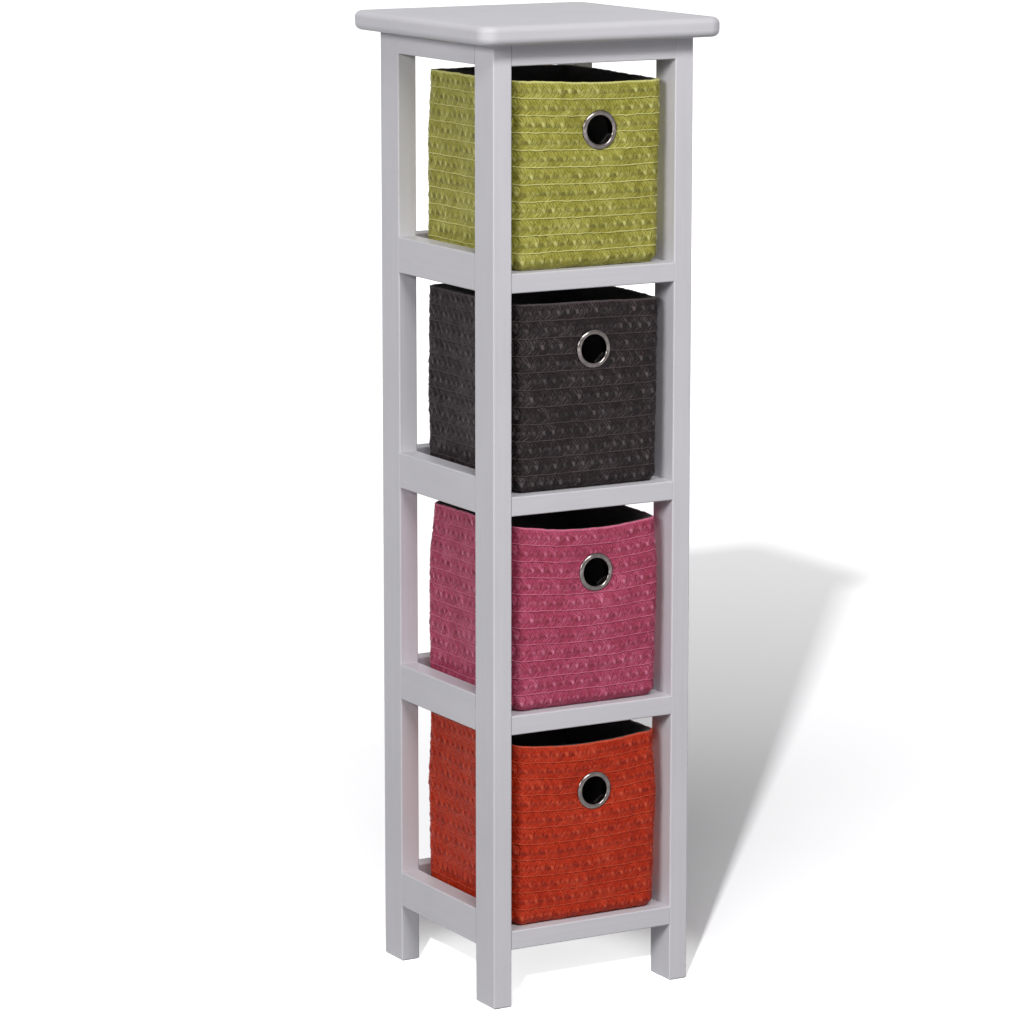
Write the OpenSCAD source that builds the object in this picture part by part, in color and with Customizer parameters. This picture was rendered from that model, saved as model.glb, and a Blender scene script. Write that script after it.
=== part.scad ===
// Narrow four-bay chest: a dowelled wooden frame with a plaited, lined basket
// standing on the shelf of each bay. Millimetres, +Z up, front towards -Y,
// origin on the floor under the middle of the frame.

/* [Frame] */
// Width over the posts
frame_w = 198; // [170:1:260]
// Depth over the posts
frame_d = 204; // [180:1:260]
// Height of the legs under the lowest rails
leg_h = 52; // [30:1:120]
// Clear height of each basket bay
bay_h = 176; // [150:1:220]
// Post size from side to side
post_t = 18; // [15:1:26]
// Post size from front to back
post_d = 33; // [30:1:45]
// Rounding of the long edges of posts and rails
edge_r = 1.2; // [0.5:0.1:2.5]
// Chamfer round the foot of each post
foot_chamfer = 1.5; // [0.5:0.5:3]

/* [Rails and shelves] */
// Thickness of the side and back rails
rail_t = 18; // [15:1:24]
// Height of the side and back rails at the shelves
side_rail_h = 32; // [29:1:45]
// Height of the front rails, which lie flat
front_rail_h = 17; // [14:1:24]
// Height of the rails under the top board
top_rail_h = 19; // [15:1:26]
// Thickness of the shelf panels
panel_t = 6; // [3:0.5:8]
// Depth of the grooves that hold the shelf panels
groove_d = 5; // [3:0.5:6]
// Clearance of a shelf panel in its grooves
panel_gap = 0.2; // [0.1:0.05:0.5]

/* [Top board] */
// Thickness of the top board
board_t = 17; // [14:1:24]
// Overhang of the top board past the posts
overhang = 20; // [5:1:40]
// Corner radius of the top board, seen from above
board_corner_r = 14; // [9:1:30]
// Rounding of the top board's edges
board_edge_r = 6; // [2:0.5:6.5]

/* [Dowels and screws] */
// Diameter of the dowels
dowel_d = 6; // [5:0.5:7]
// Depth of a dowel in a post
dowel_in_post = 11; // [8:0.5:12]
// Depth of a dowel in a rail
dowel_in_rail = 16; // [10:1:24]
// Spacing of the two dowels in a high rail
dowel_spacing = 16; // [15:1:17]
// Clearance round a dowel
dowel_gap = 0.1; // [0.05:0.05:0.3]
// Free depth at each end of a dowel
dowel_end = 0.5; // [0.2:0.1:1]
// Shank diameter of the screws in the top
screw_d = 3.5; // [3:0.5:5]
// Length of the screws in the top
screw_l = 31; // [28:0.5:31]
// Head diameter of the screws in the top
screw_head_d = 7; // [6:0.5:9]

/* [Baskets] */
// Gap between a basket and the side rails
basket_side_gap = 7; // [3:0.5:14]
// Setback of a basket from the front of the frame
basket_front_gap = 6.5; // [3:0.5:14]
// Gap between a basket and the back rail
basket_back_gap = 12.5; // [3:0.5:20]
// Gap between a basket's rim and the rail above
basket_top_gap = 12; // [6:0.5:30]
// Gap between a basket and its shelf
basket_lift = 0.3; // [0.2:0.1:0.6]
// Corner radius of a basket, seen from above
basket_corner_r = 12; // [10:0.5:20]
// Radius along a basket's bottom edge
basket_base_r = 5; // [3:0.5:6]
// Thickness of the plaited wall at the crest of a course
wall_t = 5; // [4:0.5:7]
// Height of one course of plait, before the wall is divided evenly
course_h = 14.5; // [10:0.5:22]
// Bulge of each course
course_bulge = 1.2; // [0.6:0.1:1.8]
// Flat seam between two courses
course_seam = 0.8; // [0.4:0.1:2]
// Height of the rounded rim above the top course
rim_h = 4; // [3:0.5:8]
// Thickness of the plaited floor
floor_t = 4; // [3:0.5:6]
// Thickness of the board under the lining
base_board_t = 2.5; // [1.5:0.5:4]
// Thickness of the cloth lining
lining_t = 1; // [0.8:0.1:1.6]
// Clearance round the lining and its board
lining_gap = 0.2; // [0.1:0.05:0.4]
// Depth of the lining's edge below the top of the rim
lining_drop = 1.5; // [1:0.5:4]

/* [Finger eyelets] */
// Bore of the eyelets
eyelet_bore_d = 25.5; // [20:0.5:30]
// Outer diameter of the eyelets
eyelet_flange_d = 34; // [32:0.5:40]
// Height of the rounded flange
eyelet_crown = 1.7; // [1:0.1:2]
// Thickness of the eyelet's barrel
barrel_t = 0.8; // [0.5:0.1:1.2]
// Thickness of the washer inside the basket
washer_t = 1.2; // [0.8:0.1:2]
// Radius of the barrel's rolled end
roll_r = 0.9; // [0.7:0.1:1.2]
// Clearance round the barrel
eyelet_gap = 0.2; // [0.1:0.05:0.4]
// Distance from the rim down to each eyelet, top basket first
eyelet_drop = [46, 42, 46, 49]; // [38:1:60]
// Place of each eyelet to the right of the middle, top basket first
eyelet_side = [9, 4, 7, 6]; // [-20:1:20]

/* [Hidden] */
$fn = 64;
shelf_count = 4;
inner_w = frame_w - 2 * post_t;
side_rail_len = frame_d - 2 * post_d;
bay_pitch = front_rail_h + bay_h;
post_h = leg_h + shelf_count * bay_pitch + top_rail_h;
post_x = (frame_w - post_t) / 2;
side_rail_x = (frame_w - rail_t) / 2;
side_rail_inner_x = frame_w / 2 - rail_t;
back_rail_front_y = frame_d / 2 - rail_t;
screw_y = side_rail_len / 4;

basket_w = inner_w - 2 * basket_side_gap;
basket_front_y = -frame_d / 2 + basket_front_gap;
basket_back_y = back_rail_front_y - basket_back_gap;
basket_d = basket_back_y - basket_front_y;
basket_y = (basket_back_y + basket_front_y) / 2;
basket_h = bay_h - basket_lift - basket_top_gap;
course_count = round((basket_h - rim_h) / course_h);
course_step = (basket_h - rim_h) / course_count;
course_chord = course_step - course_seam;
course_curve_r = (pow(course_chord / 2, 2) + pow(course_bulge, 2)) / (2 * course_bulge);
rim_t = wall_t - course_bulge;
lining_out = basket_corner_r - wall_t - lining_gap;
lining_z = floor_t + base_board_t;

eyelet_bore_r = eyelet_bore_d / 2;
eyelet_flange_r = eyelet_flange_d / 2;
barrel_r = eyelet_bore_r + barrel_t;
eyelet_hole_r = barrel_r + eyelet_gap;
clamp_t = wall_t + lining_gap + lining_t;

frame_colour = [0.80, 0.79, 0.80];
panel_colour = [0.74, 0.73, 0.74];
dowel_colour = [0.82, 0.70, 0.52];
steel_colour = [0.72, 0.71, 0.68];
lining_colour = [0.08, 0.08, 0.09];
board_colour = [0.62, 0.55, 0.45];
green = [0.58, 0.58, 0.24];
brown = [0.20, 0.18, 0.17];
pink = [0.64, 0.25, 0.38];
red = [0.68, 0.20, 0.12];

// Shelf levels count down from 1, and level 0 is the ring of rails under the top board.
function rail_z(level) = leg_h + (shelf_count - level) * bay_pitch;
function side_h(level) = level == 0 ? top_rail_h : side_rail_h;
function front_h(level) = level == 0 ? top_rail_h : front_rail_h;
function shelf_z(level) = rail_z(level) + front_rail_h;
function eyelet_z(level) = shelf_z(level) + basket_lift + basket_h - eyelet_drop[level - 1];

// A high rail has two dowels at each end, one above the other, and a low rail has one.
function dowel_heights(h) =
    h > dowel_spacing + 2 * dowel_d ? [h / 2 - dowel_spacing / 2, h / 2 + dowel_spacing / 2] : [h / 2];

// The front rail's two dowels share the wood that the side rail's dowels leave free.
free_post_d = post_d - dowel_in_post - dowel_end;
front_dowel_setbacks = [free_post_d / 4, free_post_d * 3 / 4];

// Rectangle with rounded corners, centred sideways and standing on the X axis
module eased_rect(w, h, r) {
    translate([-w / 2 + r, 0]) square([w - 2 * r, h]);
    translate([-w / 2, r]) square([w, h - 2 * r]);
    for (x = [-w / 2 + r, w / 2 - r])
        for (y = [r, h - r])
            translate([x, y]) circle(r);
}

// Rectangle with its two lower corners cut off
module chamfered_rect(w, h, c) {
    polygon([[-w / 2 + c, 0], [w / 2 - c, 0], [w / 2, c], [w / 2, h], [-w / 2, h], [-w / 2, c]]);
}

// Board with eased edges, standing on the origin and running along X
module rail_along_x(len, d, h) {
    rotate([90, 0, 90]) linear_extrude(len, center = true) eased_rect(d, h, edge_r);
}

// Board with eased edges, standing on the origin and running along Y
module rail_along_y(len, w, h) {
    rotate([90, 0, 0]) linear_extrude(len, center = true) eased_rect(w, h, edge_r);
}

// Carries a profile round a rectangle with rounded corners. The profile's own
// X axis points outwards from the centre of each corner, and its Y axis is up.
module round_rect_sweep(w, d, r) {
    for (turn = [0:3]) {
        across = turn % 2 == 0 ? w : d;
        along = turn % 2 == 0 ? d : w;
        rotate([0, 0, 90 * turn])
            translate([across / 2 - r, along / 2 - r, 0]) {
                rotate([90, 0, 0]) linear_extrude(along - 2 * r) children();
                rotate_extrude(angle = 90) children();
            }
    }
}

// The same, closed by a flat floor of the given thickness
module round_rect_tray(w, d, r, floor_h) {
    round_rect_sweep(w, d, r) children();
    translate([-w / 2 + r, -d / 2 + r, 0]) cube([w - 2 * r, d - 2 * r, floor_h]);
}

// Dowels of one side rail in one post: side is -1 left or 1 right, end is -1 front or 1 back
module side_dowels(side, end, level, slack = 0, spare = 0) {
    for (h = dowel_heights(side_h(level)))
        translate([side * side_rail_x, end * side_rail_len / 2, rail_z(level) + h])
            rotate([-90 * end, 0, 0])
                translate([0, 0, -dowel_in_rail - spare])
                    cylinder(d = dowel_d + 2 * slack, h = dowel_in_rail + dowel_in_post + 2 * spare);
}

// One dowel across the frame, at a post's inner face
module cross_dowel(side, y, z, slack, spare) {
    translate([side * inner_w / 2, y, z])
        rotate([0, 90 * side, 0])
            translate([0, 0, -dowel_in_rail - spare])
                cylinder(d = dowel_d + 2 * slack, h = dowel_in_rail + dowel_in_post + 2 * spare);
}

// Dowels of one front rail in one post
module front_dowels(side, level, slack = 0, spare = 0) {
    for (setback = front_dowel_setbacks)
        cross_dowel(side, -frame_d / 2 + setback, rail_z(level) + front_h(level) / 2, slack, spare);
}

// Dowels of one back rail in one post
module back_dowels(side, level, slack = 0, spare = 0) {
    for (h = dowel_heights(side_h(level)))
        cross_dowel(side, frame_d / 2 - rail_t / 2, rail_z(level) + h, slack, spare);
}

// Corner post, with a blind hole for each dowel of the rails that meet it
module post(side, end) {
    color(frame_colour)
        translate([side * post_x, end * (frame_d - post_d) / 2, 0])
            difference() {
                intersection() {
                    translate([0, -post_d / 2, 0]) linear_extrude(post_h) eased_rect(post_t, post_d, edge_r);
                    rotate([90, 0, 0])
                        linear_extrude(post_d, center = true) chamfered_rect(post_t, post_h, foot_chamfer);
                    rotate([90, 0, 90])
                        linear_extrude(post_t, center = true) chamfered_rect(post_d, post_h, foot_chamfer);
                }
                translate([-side * post_x, -end * (frame_d - post_d) / 2, 0])
                    for (level = [0:shelf_count]) {
                        side_dowels(side, end, level, dowel_gap, dowel_end);
                        if (end < 0) front_dowels(side, level, dowel_gap, dowel_end);
                        else back_dowels(side, level, dowel_gap, dowel_end);
                    }
            }
}

// Slot for the edge of a shelf panel, half of it inside the rail that it is cut from
module panel_slot(w, d, level) {
    translate([-w / 2, -d / 2, shelf_z(level) - panel_t]) cube([w, d, panel_t + panel_gap]);
}

// Front rail, lying flat, with a rebate along its back edge for the shelf panel
module front_rail(level) {
    color(frame_colour)
        difference() {
            translate([0, -frame_d / 2 + post_d / 2, rail_z(level)])
                rail_along_x(inner_w, post_d, front_h(level));
            for (side = [-1, 1])
                front_dowels(side, level, dowel_gap, dowel_end);
            if (level > 0)
                translate([0, -frame_d / 2 + post_d, 0])
                    panel_slot(inner_w + 1, 2 * (groove_d + panel_gap), level);
        }
}

// Back rail on edge, which stops the basket, grooved for the shelf panel
module back_rail(level) {
    color(frame_colour)
        difference() {
            translate([0, frame_d / 2 - rail_t / 2, rail_z(level)])
                rail_along_x(inner_w, rail_t, side_h(level));
            for (side = [-1, 1])
                back_dowels(side, level, dowel_gap, dowel_end);
            if (level > 0)
                translate([0, back_rail_front_y, 0])
                    panel_slot(inner_w + 1, 2 * (groove_d + panel_gap), level);
        }
}

// Side rail on edge between two posts: grooved for the shelf panel at a shelf,
// and drilled for the screws that hold the board at the top
module side_rail(side, level) {
    color(frame_colour)
        difference() {
            translate([side * side_rail_x, 0, rail_z(level)])
                rail_along_y(side_rail_len, rail_t, side_h(level));
            for (end = [-1, 1])
                side_dowels(side, end, level, dowel_gap, dowel_end);
            if (level > 0)
                translate([side * side_rail_inner_x, 0, 0])
                    panel_slot(2 * (groove_d + panel_gap), side_rail_len + 1, level);
            else
                for (end = [-1, 1])
                    top_screw(side, end, dowel_gap);
        }
}

// Shelf panel, its top level with the front rail's, with a tongue on each side
// that stops at the posts
module shelf_panel(level) {
    front_y = -side_rail_len / 2;
    tongue_x = side_rail_inner_x + groove_d;
    body_x = min(inner_w / 2, side_rail_inner_x) - panel_gap;
    color(panel_colour)
        translate([0, 0, shelf_z(level) - panel_t])
            linear_extrude(panel_t) {
                translate([-tongue_x, front_y]) square([2 * tongue_x, side_rail_len]);
                translate([-body_x, front_y - groove_d])
                    square([2 * body_x, back_rail_front_y + 2 * groove_d - front_y]);
            }
}

// Countersunk screw up through a side rail into the top board
module top_screw(side, end, slack = 0) {
    head_h = (screw_head_d - screw_d) / 2;
    translate([side * side_rail_x, end * screw_y, rail_z(0)]) {
        cylinder(d1 = screw_head_d + 2 * slack, d2 = screw_d + 2 * slack, h = head_h);
        cylinder(d = screw_d + 2 * slack, h = screw_l + slack);
    }
}

module top_screws() {
    color(steel_colour)
        for (side = [-1, 1])
            for (end = [-1, 1])
                top_screw(side, end);
}

// Edge of the top board, rounded above and below
module board_edge() {
    flat = board_corner_r - board_edge_r;
    square([flat, board_t]);
    translate([0, board_edge_r]) square([board_corner_r, board_t - 2 * board_edge_r]);
    for (y = [board_edge_r, board_t - board_edge_r])
        translate([flat, y]) circle(board_edge_r);
}

// Top board, overhanging the frame on all four sides
module top_board() {
    color(frame_colour)
        difference() {
            translate([0, 0, post_h])
                round_rect_tray(frame_w + 2 * overhang, frame_d + 2 * overhang, board_corner_r, board_t)
                    board_edge();
            for (side = [-1, 1])
                for (end = [-1, 1])
                    top_screw(side, end, dowel_gap);
        }
}

module side_rail_dowels() {
    color(dowel_colour)
        for (level = [0:shelf_count])
            for (side = [-1, 1])
                for (end = [-1, 1])
                    side_dowels(side, end, level);
}

module front_rail_dowels() {
    color(dowel_colour)
        for (level = [0:shelf_count])
            for (side = [-1, 1])
                front_dowels(side, level);
}

module back_rail_dowels() {
    color(dowel_colour)
        for (level = [0:shelf_count])
            for (side = [-1, 1])
                back_dowels(side, level);
}

// Section through the plaited wall: a flat core with a slim rounded rim and a
// stack of bulging courses, standing on the floor, with the bottom edge rounded off
module wall_section() {
    inner = basket_corner_r - wall_t;
    intersection() {
        union() {
            square([inner + rim_t, floor_t]);
            translate([inner, 0]) square([rim_t, basket_h - rim_t / 2]);
            translate([inner + rim_t / 2, basket_h - rim_t / 2]) circle(rim_t / 2);
            for (course = [0:course_count - 1])
                intersection() {
                    translate([inner + rim_t / 2, course * course_step]) square([wall_t, course_step]);
                    translate([basket_corner_r - course_curve_r, (course + 0.5) * course_step])
                        circle(course_curve_r);
                }
        }
        union() {
            square([basket_corner_r - basket_base_r, basket_h]);
            translate([0, basket_base_r]) square([basket_corner_r + course_bulge, basket_h]);
            translate([basket_corner_r - basket_base_r, basket_base_r]) circle(basket_base_r);
        }
    }
}

// Section through the lining: a floor and a wall of one thickness
module lining_section() {
    square([lining_out, lining_t]);
    translate([lining_out - lining_t, 0]) square([lining_t, basket_h - lining_drop - lining_z]);
}

// Places what belongs to a basket at the middle of its underside
module at_basket(level) {
    translate([0, basket_y, shelf_z(level) + basket_lift]) children();
}

// Places an eyelet part: its own +Z axis points out of the basket's front
module at_eyelet(level) {
    translate([eyelet_side[level - 1], basket_front_y, eyelet_z(level)]) rotate([90, 0, 0]) children();
}

// Hole through the front of the basket for the eyelet's barrel
module eyelet_hole(level) {
    at_eyelet(level) translate([0, 0, -2 * clamp_t]) cylinder(r = eyelet_hole_r, h = 3 * clamp_t);
}

module basket_wall(level, tint) {
    color(tint)
        difference() {
            at_basket(level)
                round_rect_tray(basket_w, basket_d, basket_corner_r, floor_t) wall_section();
            eyelet_hole(level);
        }
}

// Stiff board between the plaited floor and the lining
module basket_board(level) {
    color(board_colour)
        at_basket(level)
            translate([0, 0, floor_t])
                round_rect_tray(basket_w, basket_d, basket_corner_r, base_board_t)
                    square([lining_out, base_board_t]);
}

module basket_lining(level) {
    color(lining_colour)
        difference() {
            at_basket(level)
                translate([0, 0, lining_z])
                    round_rect_tray(basket_w, basket_d, basket_corner_r, lining_t) lining_section();
            eyelet_hole(level);
        }
}

// Eyelet: a half-round flange in front, a barrel through wall and lining,
// and a rolled end that holds the washer
module eyelet(level) {
    face_w = eyelet_flange_r - eyelet_bore_r;
    crown_r = (pow(face_w / 2, 2) + pow(eyelet_crown, 2)) / (2 * eyelet_crown);
    roll_y = -clamp_t - washer_t;
    color(steel_colour)
        at_eyelet(level)
            rotate_extrude() {
                intersection() {
                    translate([eyelet_bore_r, 0]) square([face_w, eyelet_crown]);
                    translate([eyelet_bore_r + face_w / 2, eyelet_crown - crown_r]) circle(crown_r);
                }
                translate([eyelet_bore_r, roll_y]) square([barrel_t, -roll_y]);
                intersection() {
                    translate([eyelet_bore_r + roll_r, roll_y]) circle(roll_r);
                    translate([eyelet_bore_r, roll_y - roll_r]) square([2 * roll_r, roll_r]);
                }
            }
}

module eyelet_washer(level) {
    inner = barrel_r + eyelet_gap / 2;
    color(steel_colour)
        at_eyelet(level)
            rotate_extrude()
                translate([inner, -clamp_t - washer_t]) square([eyelet_flange_r - inner, washer_t]);
}

top_board();
post(-1, -1);  // front_left_post
post(1, -1);  // front_right_post
post(-1, 1);  // back_left_post
post(1, 1);  // back_right_post
front_rail(0);  // front_top_rail
back_rail(0);  // back_top_rail
side_rail(-1, 0);  // left_top_rail
side_rail(1, 0);  // right_top_rail
front_rail(1);  // front_rail_1
front_rail(2);  // front_rail_2
front_rail(3);  // front_rail_3
front_rail(4);  // front_rail_4
back_rail(1);  // back_rail_1
back_rail(2);  // back_rail_2
back_rail(3);  // back_rail_3
back_rail(4);  // back_rail_4
side_rail(-1, 1);  // left_rail_1
side_rail(-1, 2);  // left_rail_2
side_rail(-1, 3);  // left_rail_3
side_rail(-1, 4);  // left_rail_4
side_rail(1, 1);  // right_rail_1
side_rail(1, 2);  // right_rail_2
side_rail(1, 3);  // right_rail_3
side_rail(1, 4);  // right_rail_4
shelf_panel(1);  // shelf_panel_1
shelf_panel(2);  // shelf_panel_2
shelf_panel(3);  // shelf_panel_3
shelf_panel(4);  // shelf_panel_4
front_rail_dowels();
back_rail_dowels();
side_rail_dowels();
top_screws();
basket_wall(1, green);  // green_basket_wall
basket_lining(1);  // green_basket_lining
basket_board(1);  // green_basket_board
eyelet(1);  // green_eyelet
eyelet_washer(1);  // green_eyelet_washer
basket_wall(2, brown);  // brown_basket_wall
basket_lining(2);  // brown_basket_lining
basket_board(2);  // brown_basket_board
eyelet(2);  // brown_eyelet
eyelet_washer(2);  // brown_eyelet_washer
basket_wall(3, pink);  // pink_basket_wall
basket_lining(3);  // pink_basket_lining
basket_board(3);  // pink_basket_board
eyelet(3);  // pink_eyelet
eyelet_washer(3);  // pink_eyelet_washer
basket_wall(4, red);  // red_basket_wall
basket_lining(4);  // red_basket_lining
basket_board(4);  // red_basket_board
eyelet(4);  // red_eyelet
eyelet_washer(4);  // red_eyelet_washer
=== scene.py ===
import math

import bpy
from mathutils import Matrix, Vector


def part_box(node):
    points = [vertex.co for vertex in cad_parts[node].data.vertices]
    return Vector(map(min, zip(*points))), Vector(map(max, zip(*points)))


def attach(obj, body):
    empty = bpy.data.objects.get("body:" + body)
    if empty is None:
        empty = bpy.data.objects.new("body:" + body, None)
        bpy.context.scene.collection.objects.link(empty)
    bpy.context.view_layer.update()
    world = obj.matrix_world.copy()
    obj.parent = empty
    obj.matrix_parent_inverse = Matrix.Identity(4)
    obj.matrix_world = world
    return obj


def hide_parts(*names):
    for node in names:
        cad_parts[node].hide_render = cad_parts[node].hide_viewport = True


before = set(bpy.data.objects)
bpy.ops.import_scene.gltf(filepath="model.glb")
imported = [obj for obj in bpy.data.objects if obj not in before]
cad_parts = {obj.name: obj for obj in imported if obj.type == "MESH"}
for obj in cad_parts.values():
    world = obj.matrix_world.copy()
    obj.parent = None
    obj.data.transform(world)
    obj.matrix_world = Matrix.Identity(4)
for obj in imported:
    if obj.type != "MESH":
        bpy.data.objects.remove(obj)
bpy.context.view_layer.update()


# Studio
# The chest stands on a sheet of pale paper in a bright white room. Soft lamps light its front, its left side and its
# back, and two lamps that shine on the floor alone draw its long shadow back to the right.
def drop_selection():
    """Leaves nothing selected."""
    if bpy.context.object and bpy.context.object.mode != "OBJECT":
        bpy.ops.object.mode_set(mode="OBJECT")
    bpy.ops.object.select_all(action="DESELECT")


def add_node(tree, kind, values=None, **settings):
    """A node with some of its settings and its unlinked inputs filled in."""
    node = tree.nodes.new("ShaderNode" + kind)
    for key, value in settings.items():
        setattr(node, key, value)
    for key, value in (values or {}).items():
        node.inputs[key].default_value = value
    return node


def seen_directly(tree):
    """1 for what the camera sees straight, in gloss or through glass, and 0 for the light that falls on things."""
    paths = add_node(tree, "LightPath")
    most = add_node(tree, "Math", operation="MAXIMUM")
    any_of = add_node(tree, "Math", operation="MAXIMUM")
    tree.links.new(paths.outputs["Is Camera Ray"], most.inputs[0])
    tree.links.new(paths.outputs["Is Glossy Ray"], most.inputs[1])
    tree.links.new(most.outputs[0], any_of.inputs[0])
    tree.links.new(paths.outputs["Is Transmission Ray"], any_of.inputs[1])
    return any_of.outputs[0]


scene = bpy.context.scene
scene.view_settings.view_transform = "Standard"

floor_size = 120
drop_selection()
bpy.ops.mesh.primitive_grid_add(x_subdivisions=30, y_subdivisions=30, size=floor_size, location=(0, 0, 0))
floor = bpy.context.object
floor.name = "studio_floor"
floor_paper = bpy.data.materials.new("floor_paper")
floor_paper.use_nodes = True
tree = floor_paper.node_tree
tree.nodes.remove(tree.nodes["Principled BSDF"])
# The paper is darker in the light that it throws back than to the eye, or the chest's lower parts would glow.
tone_thrown_back = (0.16, 0.16, 0.16, 1)
tone_seen = (0.72, 0.72, 0.73, 1)
seen = seen_directly(tree)
paper_tone = add_node(tree, "Mix", data_type="RGBA")
paper_tone.inputs[6].default_value = tone_thrown_back
paper_tone.inputs[7].default_value = tone_seen
tree.links.new(seen, paper_tone.inputs[0])
paper = add_node(tree, "BsdfDiffuse")
tree.links.new(paper_tone.outputs[2], paper.inputs["Color"])
# Away from the chest the paper glows by itself, so that it stays white to the horizon, and a little light also fills
# the space between the feet.
place = add_node(tree, "TexCoord")
away = add_node(tree, "VectorMath", operation="LENGTH")
tree.links.new(place.outputs["Object"], away.inputs[0])
far_off = add_node(tree, "MapRange", {"From Min": 0.5, "From Max": 5.0, "To Min": 0.115, "To Max": 1.0})
between_feet = add_node(tree, "MapRange", {"From Min": 0.08, "From Max": 0.20, "To Min": 0.65, "To Max": 0.0},
                        interpolation_type="SMOOTHSTEP")
glow_level = add_node(tree, "Math", operation="ADD")
for source in (far_off, between_feet):
    tree.links.new(away.outputs["Value"], source.inputs["Value"])
tree.links.new(far_off.outputs[0], glow_level.inputs[0])
tree.links.new(between_feet.outputs[0], glow_level.inputs[1])
glow = add_node(tree, "Emission", {"Color": (1, 1, 1, 1)})
glow_share = add_node(tree, "Math", operation="MULTIPLY")
lit_paper = add_node(tree, "AddShader")
tree.links.new(seen, glow_share.inputs[0])
tree.links.new(glow_level.outputs[0], glow_share.inputs[1])
tree.links.new(glow_share.outputs[0], glow.inputs["Strength"])
tree.links.new(paper.outputs[0], lit_paper.inputs[0])
tree.links.new(glow.outputs[0], lit_paper.inputs[1])
tree.links.new(lit_paper.outputs[0], tree.nodes["Material Output"].inputs["Surface"])
floor.data.materials.append(floor_paper)

room = bpy.data.worlds.new("white_room")
scene.world = room
room.use_nodes = True
tree = room.node_tree
room_light = tree.nodes["Background"]
room_light.inputs["Color"].default_value = (0.97, 0.97, 1.0, 1)
room_light.inputs["Strength"].default_value = 0.12
room_white = add_node(tree, "Background", {"Color": (1, 1, 1, 1), "Strength": 1.0})
room_mix = add_node(tree, "MixShader")
tree.links.new(seen_directly(tree), room_mix.inputs["Fac"])
tree.links.new(room_light.outputs[0], room_mix.inputs[1])
tree.links.new(room_white.outputs[0], room_mix.inputs[2])
tree.links.new(room_mix.outputs[0], tree.nodes["World Output"].inputs["Surface"])

# Two lists for the lamps: one lights the floor alone, the other everything else.
floor_alone = bpy.data.collections.new("floor_alone")
floor_alone.objects.link(floor)
all_but_floor = bpy.data.collections.new("all_but_floor")
all_but_floor.objects.link(floor)
all_but_floor.collection_objects[0].light_linking.link_state = "EXCLUDE"
chest_middle = Vector((0, 0, 0.43))


def soft_lamp(name, towards, distance, width, height, watts, lights=all_but_floor):
    """A soft lamp of the size given, which shines on the chest's middle from a distance, along a direction."""
    way = Vector(towards).normalized()
    drop_selection()
    bpy.ops.object.light_add(type="AREA", location=chest_middle - way * distance)
    lamp = bpy.context.object
    lamp.name = name
    lamp.rotation_euler = way.to_track_quat("-Z", "Y").to_euler()
    lamp.data.shape = "RECTANGLE"
    lamp.data.size, lamp.data.size_y = width, height
    lamp.data.energy = watts
    lamp.light_linking.receiver_collection = lights
    return lamp


soft_lamp("front_lamp", (0.17, 0.82, -0.78), 6.0, 3.2, 1.2, 242)
soft_lamp("left_lamp", (0.80, 0.45, -0.37), 5.0, 1.8, 1.2, 133)
back_lamp = soft_lamp("back_lamp", (-0.70, -0.71, -0.02), 5.0, 2.5, 1.4, 215)
back_lamp.visible_glossy = False  # or its mirror image would lie on the top board
soft_lamp("floor_lamp", (1.262, 1.622, -1.035), 12.0, 0.3, 0.3, 2300, floor_alone)
soft_lamp("wide_floor_lamp", (1.0, 1.3, -1.2), 12.0, 8.0, 8.0, 1550, floor_alone)

# The camera stands in front and to the left, a little above the middle of the chest.
yaw, pitch = math.radians(29.484), math.radians(10.575)
bpy.ops.object.camera_add(location=(-1.841, -3.215, 1.110), rotation=(math.pi / 2 - pitch, 0, -yaw))
camera = bpy.context.object
camera.name = "photo_camera"
camera.data.sensor_width = 36
camera.data.lens = 148.94
camera.data.clip_end = 200
scene.camera = camera


# Painted frame
# Posts, rails and top board are planed softwood, glued and dowelled, then sprayed a pale cool grey. The paint is thin
# and satin, so a little of the grain shows through it along each board.
def new_material(name):
    """A material with its node tree and its Principled shader."""
    material = bpy.data.materials.new(name)
    material.use_nodes = True
    return material, material.node_tree, material.node_tree.nodes["Principled BSDF"]


def group_tree(name, inputs, outputs):
    """A shader node group with named inputs (name, kind, value) and outputs (name, kind)."""
    group = bpy.data.node_groups.new(name, "ShaderNodeTree")
    for label, kind, value in inputs:
        socket = group.interface.new_socket(label, in_out="INPUT", socket_type="NodeSocket" + kind)
        if value is not None:
            socket.default_value = value
    for label, kind in outputs:
        group.interface.new_socket(label, in_out="OUTPUT", socket_type="NodeSocket" + kind)
    return group, group.nodes.new("NodeGroupInput"), group.nodes.new("NodeGroupOutput")


def chain(tree, source, kind, values=None, into=0, **settings):
    """A node fed by a socket. Gives back the new node's first output."""
    node = add_node(tree, kind, values, **settings)
    tree.links.new(source, node.inputs[into])
    return node.outputs[0]


def pair(tree, operation, first, second):
    """A Math node on two sockets, or on a socket and a number."""
    node = add_node(tree, "Math", operation=operation)
    tree.links.new(first, node.inputs[0])
    if isinstance(second, (int, float)):
        node.inputs[1].default_value = second
    else:
        tree.links.new(second, node.inputs[1])
    return node.outputs[0]


def remap(tree, source, low, high, new_low, new_high):
    """A socket's values from low to high, brought to a new range and held inside it."""
    return chain(tree, source, "MapRange",
                 {"From Min": low, "From Max": high, "To Min": new_low, "To Max": new_high})


def blend_colours(tree, share, first, second):
    """A colour between two, each a socket or four numbers, by a share from 0 to 1."""
    node = add_node(tree, "Mix", data_type="RGBA")
    tree.links.new(share, node.inputs[0])
    for index, colour in ((6, first), (7, second)):
        if isinstance(colour, tuple):
            node.inputs[index].default_value = colour
        else:
            tree.links.new(colour, node.inputs[index])
    return node.outputs[2]


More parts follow.
